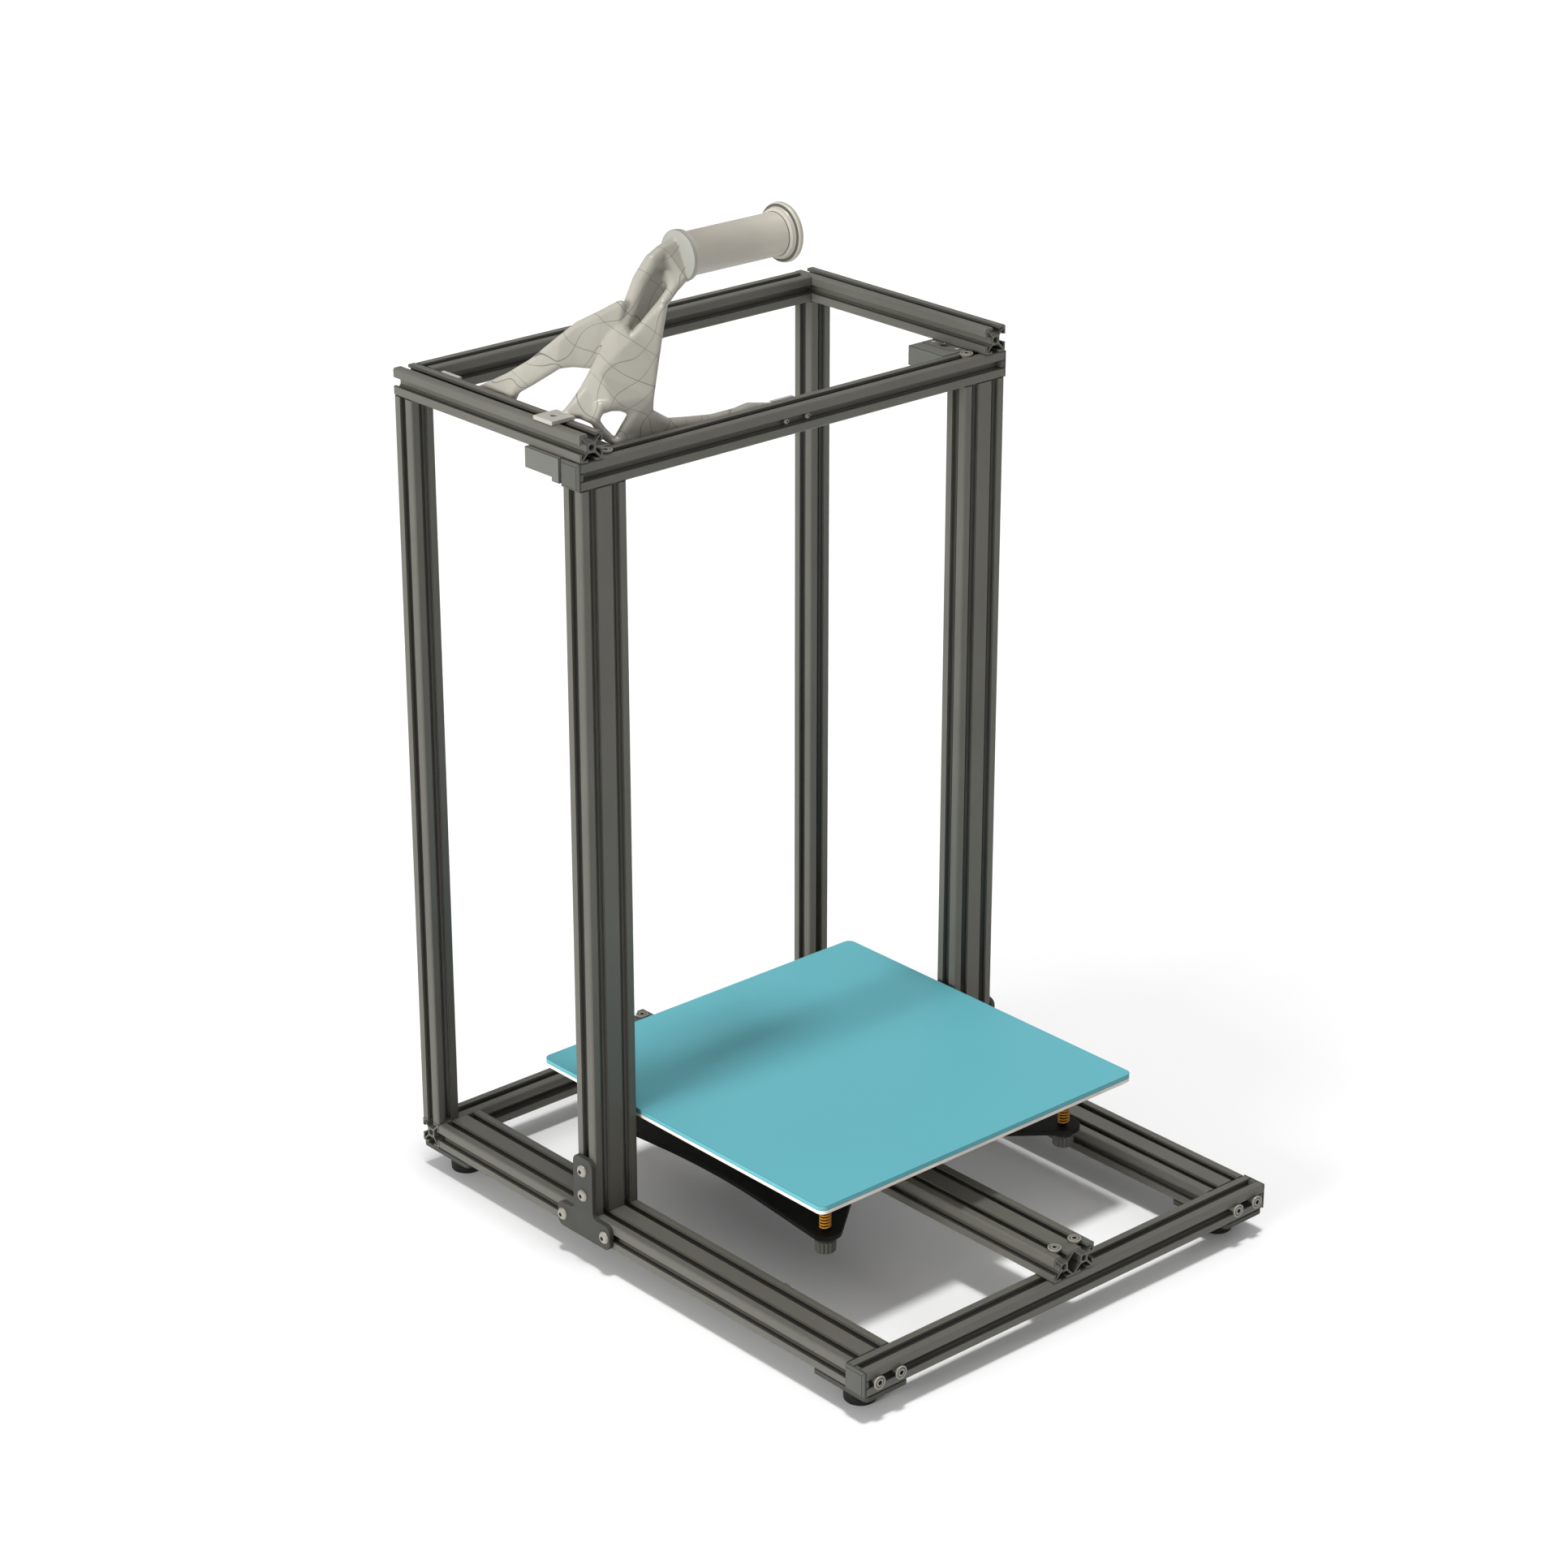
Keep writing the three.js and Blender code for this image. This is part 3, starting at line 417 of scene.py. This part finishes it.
def add_feet():
    profile = [
        (0, -6), (3.4, -6), (3.5, -15.7), (3.8, -16), (10.6, -16), (11.3, -15.6), (11.7, -14.9),
        (12.3, -2.2), (12.4, -0.8), (12.5, 0), (0, 0),
    ]
    for corner in CORNERS:
        x, y = corner_point(corner, CENTRE, *FOOT_OFFSET)
        foot = lathe(f"{corner}_rubber_foot", profile, 64)
        settle(foot, (x, y, -PLATE_THICK), "rubber", RUBBER)
        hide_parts(f"{corner}_foot")
        bolt = lathe(f"{corner}_foot_bolt", PAN_HEAD, 36, shade=SOCKET_STRETCH)
        settle(bolt, (x, y, FOOT_BOLT_Z), "screw", STEEL, SOCKET, toward=(0, 0, -1))


# ---- screws -------------------------------------------------------------------------------
# Each profile starts under the head, goes round it and ends in the hex socket.
CONE_HEAD = [
    (0, -9.5), (2.3, -9.5), (2.4, -0.6), (4.9, 2.3), (5.0, 2.5), (5.0, 3.0), (4.85, 3.25),
    (3.9, 3.25), (3.8, 3.1), (3.0, 3.1), (2.9, 3.25), (1.9, 3.25, 6), (1.8, 1.6, 6), (0, 1.6),
]
CONE_SOCKET = (8, 11, 12)
PAN_HEAD = [
    (0, -1.5), (2.3, -1.5), (2.3, 0), (4.7, 0), (4.75, 0.35), (4.5, 1.0), (3.8, 1.8), (2.8, 2.35),
    (2.2, 2.5), (1.75, 2.5, 6), (1.65, 1.1, 6), (0, 1.1),
]
SOCKET_STRETCH = (9, 10)
SMALL_HEAD = [(r * 0.48, z * 0.48, *rest) for r, z, *rest in PAN_HEAD]


def add_screw(name, profile, shaded, position, toward):
    screw = lathe(name, profile, 48, shade=shaded)
    return settle(screw, position, "screw", STEEL, SOCKET, toward=toward)


def add_front_screws():
    for index, x in enumerate((10, 30, 370, 390), start=1):
        screw = add_screw(f"cross_member_screw_{index}", CONE_HEAD, CONE_SOCKET, (x, 0, 10), (0, -1, 0))
        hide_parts(f"front_beam_screw_{index}")


def add_plate_screws():
    places = [(-24, 10), (24, 10), (0, 35), (0, 55)]
    for side in LEFT_RIGHT:
        outward = -1 if side == "left" else 1
        for index, (along, up) in enumerate(places, start=1):
            name = f"{side}_plate_screw_{index}"
            position = (across(side, -PLATE_THICK), UPRIGHT_Y + along, up)
            screw = add_screw(name, PAN_HEAD, SOCKET_STRETCH, position, (outward, 0, 0))
            if index == 1:
                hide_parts(f"{side}_t_plate_screw")


def add_beam_screws():
    """Screws in the slots: the bed rail's ends, the top front beam and the left base beam."""
    lowered = [(r, z - 1.2, *rest) for r, z, *rest in CONE_HEAD[3:]]
    shallow = [(0, -2.4), (2.4, -2.4), *lowered]
    socket = (7, 10, 11)
    for end, y in (("front", 10), ("rear", 490)):
        for index, x in enumerate((190, 210), start=1):
            add_screw(f"rail_{end}_screw_{index}", shallow, socket, (x, y, RAIL_TOP), (0, 0, 1))
    for side in LEFT_RIGHT:
        position = (across(side, 30), UPRIGHT_Y, BEAM_TOP)
        add_screw(f"top_beam_{side}_screw", shallow, socket, position, (0, 0, 1))
    for index, x in enumerate((188, 208), start=1):
        position = (x, UPRIGHT_Y - 6.6, BEAM_TOP - 10)
        add_screw(f"slot_screw_{index}", SMALL_HEAD, SOCKET_STRETCH, position, (0, -1, 0))
    add_screw("base_beam_screw", PAN_HEAD, SOCKET_STRETCH, (40, 126, 15.5), (1, 0, 0))


# ---- lead screw bearings ------------------------------------------------------------------
BEARING_X = 22.5
BEARING_Y = 330
BEARING_LOW = 590


def add_bearings():
    race = [
        (4.0, 0.2), (4.2, 0), (5.2, 0), (5.4, 0.2),
        (5.4, 4.5), (5.2, 4.7), (4.2, 4.7), (4.0, 4.5),
    ]
    for side in LEFT_RIGHT:
        dress(f"{side}_bearing_flange", RACE, EDGE, line=0.15)
        inner = lathe(f"{side}_race", race, 64)
        x = across(side, BEARING_X)
        settle(inner, (x, BEARING_Y, BEARING_LOW), "bearing", RACE, body=f"{side}_race")
        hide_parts(f"{side}_bearing_inner_race")
        for index, offset in enumerate((-12.5, 12.5), start=1):
            name = f"{side}_block_screw_{index}"
            position = (x, BEARING_Y + offset, BEAM_TOP - 0.8)
            add_screw(name, SMALL_HEAD, SOCKET_STRETCH, position, (0, 0, 1))


# ---- bed ----------------------------------------------------------------------------------
SPRING_LOW = 48
SPRING_HIGH = 85.25
LEVEL_OFFSET = 120  # from the bed's centre to a levelling stud, both ways
KNOB_LOW = 30.3
# near-black tube round the levelling stud: it stands for the stud, and is painted shade seen between
# the spring's turns
STUD_SHADE_PROFILE = [(2.05, -1), (2.3, -1), (2.3, 37.2), (2.05, 37.2)]  # heights from SPRING_LOW


def coil(name, radius, low, high, pitch, wire_half):
    """A closed helical coil of flattened wire."""
    wire_reach, wire_lift = wire_half
    first = low + wire_lift
    rise = high - low - 2 * wire_lift
    turns = rise / pitch
    steps = int(turns * 28)
    section = 10
    mesh = bmesh.new()
    rings = []
    for step in range(steps + 1):
        angle = 2 * math.pi * turns * step / steps
        height = first + rise * step / steps
        ring = []
        for index in range(section):
            around = 2 * math.pi * index / section
            reach = radius + wire_reach * math.cos(around)
            lift = wire_lift * math.sin(around)
            ring.append(turned_vertex(mesh, reach, angle, height + lift))
        rings.append(ring)
    for lower, upper in zip(rings, rings[1:]):
        join_rings(mesh, lower, upper)
    mesh.faces.new(rings[0])
    mesh.faces.new(rings[-1])
    return as_object(name, mesh)


def fluted_knob(name):
    """Thumb nut: fluted grip with rounded rims under a plain hub, open for the stud."""
    flutes, steps = 16, 7
    count = flutes * steps
    # (height, radius, how deep the flutes are at this height)
    levels = [
        (0, 2.3, 0), (0, 6.6, 0), (0.3, 7.3, 0.3), (0.9, 7.8, 1), (8.2, 8.2, 1), (8.8, 8.1, 0.7),
        (9.3, 7.4, 0.1), (9.4, 4.2, 0), (13.3, 4.1, 0), (13.4, 2.3, 0),
    ]
    mesh = bmesh.new()
    rings = []
    for height, radius, depth in levels:
        ring = []
        for index in range(count):
            angle = 2 * math.pi * index / count
            notch = 1.1 * max(0, math.cos(flutes * angle)) ** 0.6
            ring.append(turned_vertex(mesh, radius - depth * notch, angle, height))
        rings.append(ring)
    for lower, upper in zip(rings, rings[1:] + rings[:1]):
        join_rings(mesh, lower, upper)
    return as_object(name, mesh)


def add_bed():
    dress("glass_plate", GLASS_SHEET, EDGE, line=0.12, angle=60)
    dress("heated_plate", HEATER, EDGE, line=0.15, angle=60)
    dress("carriage_plate", CARRIAGE, CARRIAGE, line=0.4, angle=60)
    for corner in CORNERS:
        x, y = corner_point(corner, CENTRE, LEVEL_OFFSET, LEVEL_OFFSET)
        spring = coil(f"{corner}_coil", 3.75, 0, SPRING_HIGH - SPRING_LOW, 2.35, (0.75, 0.66))
        settle(spring, (x, y, SPRING_LOW), "spring", SPRING, body="carriage", angle=0)
        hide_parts(f"{corner}_spring")
        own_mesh(spring)
        # near-black tube round the stud: the stud, and painted shade inside the coil
        shade_tube = lathe(f"{corner}_dark_stud_and_shade", STUD_SHADE_PROFILE, 24)
        settle(shade_tube, (x, y, SPRING_LOW), "heater", CARRIAGE, body="bed")
        knob = fluted_knob(f"{corner}_thumb_nut")
        settle(knob, (x, y, KNOB_LOW), "knob", KNOB, body=f"{corner}_knob")
        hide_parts(f"{corner}_levelling_knob")


WHEEL_OFFSET = (31.5, 55)  # from the bed's centre to a wheel, X and Y


def add_wheels():
    wheel = [
        (2.6, -4.6), (3.9, -4.6), (4.1, -4.9), (6.2, -4.9), (6.4, -4.4), (7.2, -4.4), (7.5, -5.1),
        (9.3, -5.1), (11.9, -2.55), (12, -2.4), (12, 2.4), (11.9, 2.55), (9.3, 5.1),
        (7.5, 5.1), (7.2, 4.4), (6.4, 4.4), (6.2, 4.9), (4.1, 4.9), (3.9, 4.6), (2.6, 4.6),
    ]
    steel_stretches = (0, 1, 2, 3, 15, 16, 17, 18)
    axle = [
        (0, -8.6), (2.3, -8.6), (2.4, -8.4, 6), (4.7, -8.4, 6), (4.7, -5.6, 6), (2.5, -5.55),
        (2.5, 5.6), (4.1, 5.6), (4.1, 13.8), (2.5, 13.8), (2.5, 18.2), (4.6, 18.2), (4.5, 19.2),
        (3.4, 20.4), (2.1, 20.6), (1.7, 20.6, 6), (1.6, 19.2, 6), (0, 19.2),
    ]
    for corner in CORNERS:
        x, y = corner_point(corner, CENTRE, *WHEEL_OFFSET)
        roller = lathe(f"{corner}_roller", wheel, 72, shade=steel_stretches)
        settle(roller, (x, y, RAIL_MIDDLE), "wheel", WHEEL, RACE, body=f"{corner}_wheel")
        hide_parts(f"{corner}_wheel")
        bolt = lathe(f"{corner}_axle_bolt", axle, 48, shade=(14, 15))
        settle(bolt, (x, y, RAIL_MIDDLE), "screw", STEEL, SOCKET, body="carriage")
        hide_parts(f"{corner}_wheel_axle")


# ---- spool holder -------------------------------------------------------------------------
SPOOL_DISC_X = 125.5
SPOOL_END_X = 222.8
SPOOL_AXIS = (335, 707)  # Y and Z


def smooth_bracket():
    """Melts the bracket's faceted limbs into one continuous skin."""
    bracket = stripped("spool_bracket", SHELL)
    skin = bracket.modifiers.new("skin", "REMESH")
    skin.mode = "VOXEL"
    skin.voxel_size = 0.8 / METRE
    skin.use_smooth_shade = True
    melt = bracket.modifiers.new("melt", "SMOOTH")
    melt.factor = 0.5
    melt.iterations = 12


def add_bracket_plates():
    """Flat feet of the bracket, 20 mm square, each with its screw hole."""
    corner, bore, thick = 14.3, 2.65, 2.95
    plate = [
        (corner - 0.4, -0.05, 4), (corner, 0.25, 4), (corner, thick - 0.3, 4),
        (corner - 0.4, thick, 4), (bore + 0.2, thick), (bore, thick - 0.2), (bore, -0.05),
    ]
    feet = {
        "left": ((10, 330, 615.1), (0, 0, 1)),
        "rear": ((20.1, 460, 605), (1, 0, 0)),
        "front": ((200, 310.1, 585), (0, 1, 0)),
    }
    for name, (position, toward) in feet.items():
        foot = lathe(f"bracket_{name}_plate", plate, 72)
        settle(foot, position, "spool", SHELL_PLATE, toward=toward)


def add_spool_tube():
    end = SPOOL_END_X - SPOOL_DISC_X
    disc = [(0, -0.4), (18.2, -0.4), (18.5, -0.2), (18.55, 0.1), (18.55, 2.0), (0, 2.0)]
    tube = [
        (0, 2.3), (18.2, 2.3), (18.3, 2.6), (18.2, 4.0), (15.9, 4.4), (15.6, 4.9),
        (15.6, end - 9.0), (15.9, end - 8.4), (17.4, end - 8.0), (18.0, end - 7.4), (18.2, end - 5.6),
        (18.6, end - 4.9), (20.6, end - 4.3), (21.3, end - 3.6), (21.5, end - 2.6), (21.5, end - 1.0),
        (21.2, end - 0.4), (20.4, end), (13.4, end), (13.0, end - 0.4), (13, 7.3), (0, 7.3),
    ]
    # The disc's rim bevel and the barrel's stretches 4, 6 and 11 are painted shade: dark lines round
    # their rims.
    plate = lathe("spool_end_disc", disc, 96, shade=(1,))
    settle(plate, (SPOOL_DISC_X, *SPOOL_AXIS), "spool", DISC, RIM_SHADE, toward=(1, 0, 0))
    barrel = lathe("spool_barrel", tube, 96, shade=(4, 6, 11))
    settle(barrel, (SPOOL_DISC_X, *SPOOL_AXIS), "spool", TUBE, RIM_SHADE, toward=(1, 0, 0))
    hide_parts("spool_tube")


# ---- floor, light and camera --------------------------------------------------------------
CAMERA_EYE = (-1581.6, -1696.3, 1434.6)
CAMERA_TARGET = (-397.4, -363.3, 680.4)
CAMERA_LENS = 90.99


STUDIO_REACH = 14  # metres from the object to the studio's wall


def add_floor():
    mesh = bmesh.new()
    bmesh.ops.create_grid(mesh, x_segments=2, y_segments=2, size=STUDIO_REACH)
    floor = as_object("floor", mesh)
    floor.data.materials.append(plain_floor())


def add_backdrop():
    """White wall round the studio that neither lights nor shades the object."""
    paint = Surface("studio_wall", roughness=1, specular=0)
    paint.shader.inputs["Base Color"].default_value = (0, 0, 0, 1)
    paint.shader.inputs["Emission Color"].default_value = (1, 1, 1, 1)
    paint.shader.inputs["Emission Strength"].default_value = 1
    mesh = bmesh.new()
    height = STUDIO_REACH
    bmesh.ops.create_cone(
        mesh, segments=96, radius1=STUDIO_REACH, radius2=STUDIO_REACH, depth=height,
        matrix=Matrix.Translation((0, 0, height / 2)),
    )
    wall = as_object("backdrop", mesh)
    wall.data.materials.append(paint.material)
    wall.visible_diffuse = False
    wall.visible_glossy = False
    wall.visible_shadow = False


def add_sun(name, toward, strength, softness, glints=True):
    """A distant lamp, softness in degrees. Without glints it leaves no highlights."""
    light = bpy.data.lights.new(name, "SUN")
    light.energy = strength
    light.angle = math.radians(softness)
    lamp = bpy.data.objects.new(name, light)
    lamp.rotation_mode = "QUATERNION"
    lamp.rotation_quaternion = Vector(toward).to_track_quat("-Z", "Y")
    lamp.visible_glossy = glints
    bpy.context.scene.collection.objects.link(lamp)


def add_light():
    world = bpy.data.worlds.new("studio")
    world.use_nodes = True
    background = world.node_tree.nodes["Background"]
    background.inputs["Color"].default_value = (1, 1, 1, 1)
    background.inputs["Strength"].default_value = 0.45
    bpy.context.scene.world = world
    bpy.context.scene.view_settings.view_transform = "Standard"
    add_sun("left_key", (1, 0.03, -0.15), 4.4, 30, glints=False)
    add_sun("overhead", (0.02, 0.02, -1), 2.3, 8)


def add_camera():
    camera = bpy.data.objects.new("camera", bpy.data.cameras.new("camera"))
    eye, target = at(*CAMERA_EYE), at(*CAMERA_TARGET)
    camera.location = eye
    camera.rotation_mode = "QUATERNION"
    camera.rotation_quaternion = (target - eye).to_track_quat("-Z", "Y")
    camera.data.lens = CAMERA_LENS
    camera.data.sensor_width = 36
    camera.data.clip_end = 100
    bpy.context.scene.collection.objects.link(camera)
    bpy.context.scene.camera = camera


dress_frame()
add_feet()
add_front_screws()
add_plate_screws()
add_beam_screws()
add_bearings()
add_bed()
add_wheels()
smooth_bracket()
add_bracket_plates()
add_spool_tube()
add_floor()
add_backdrop()
add_light()
add_camera()
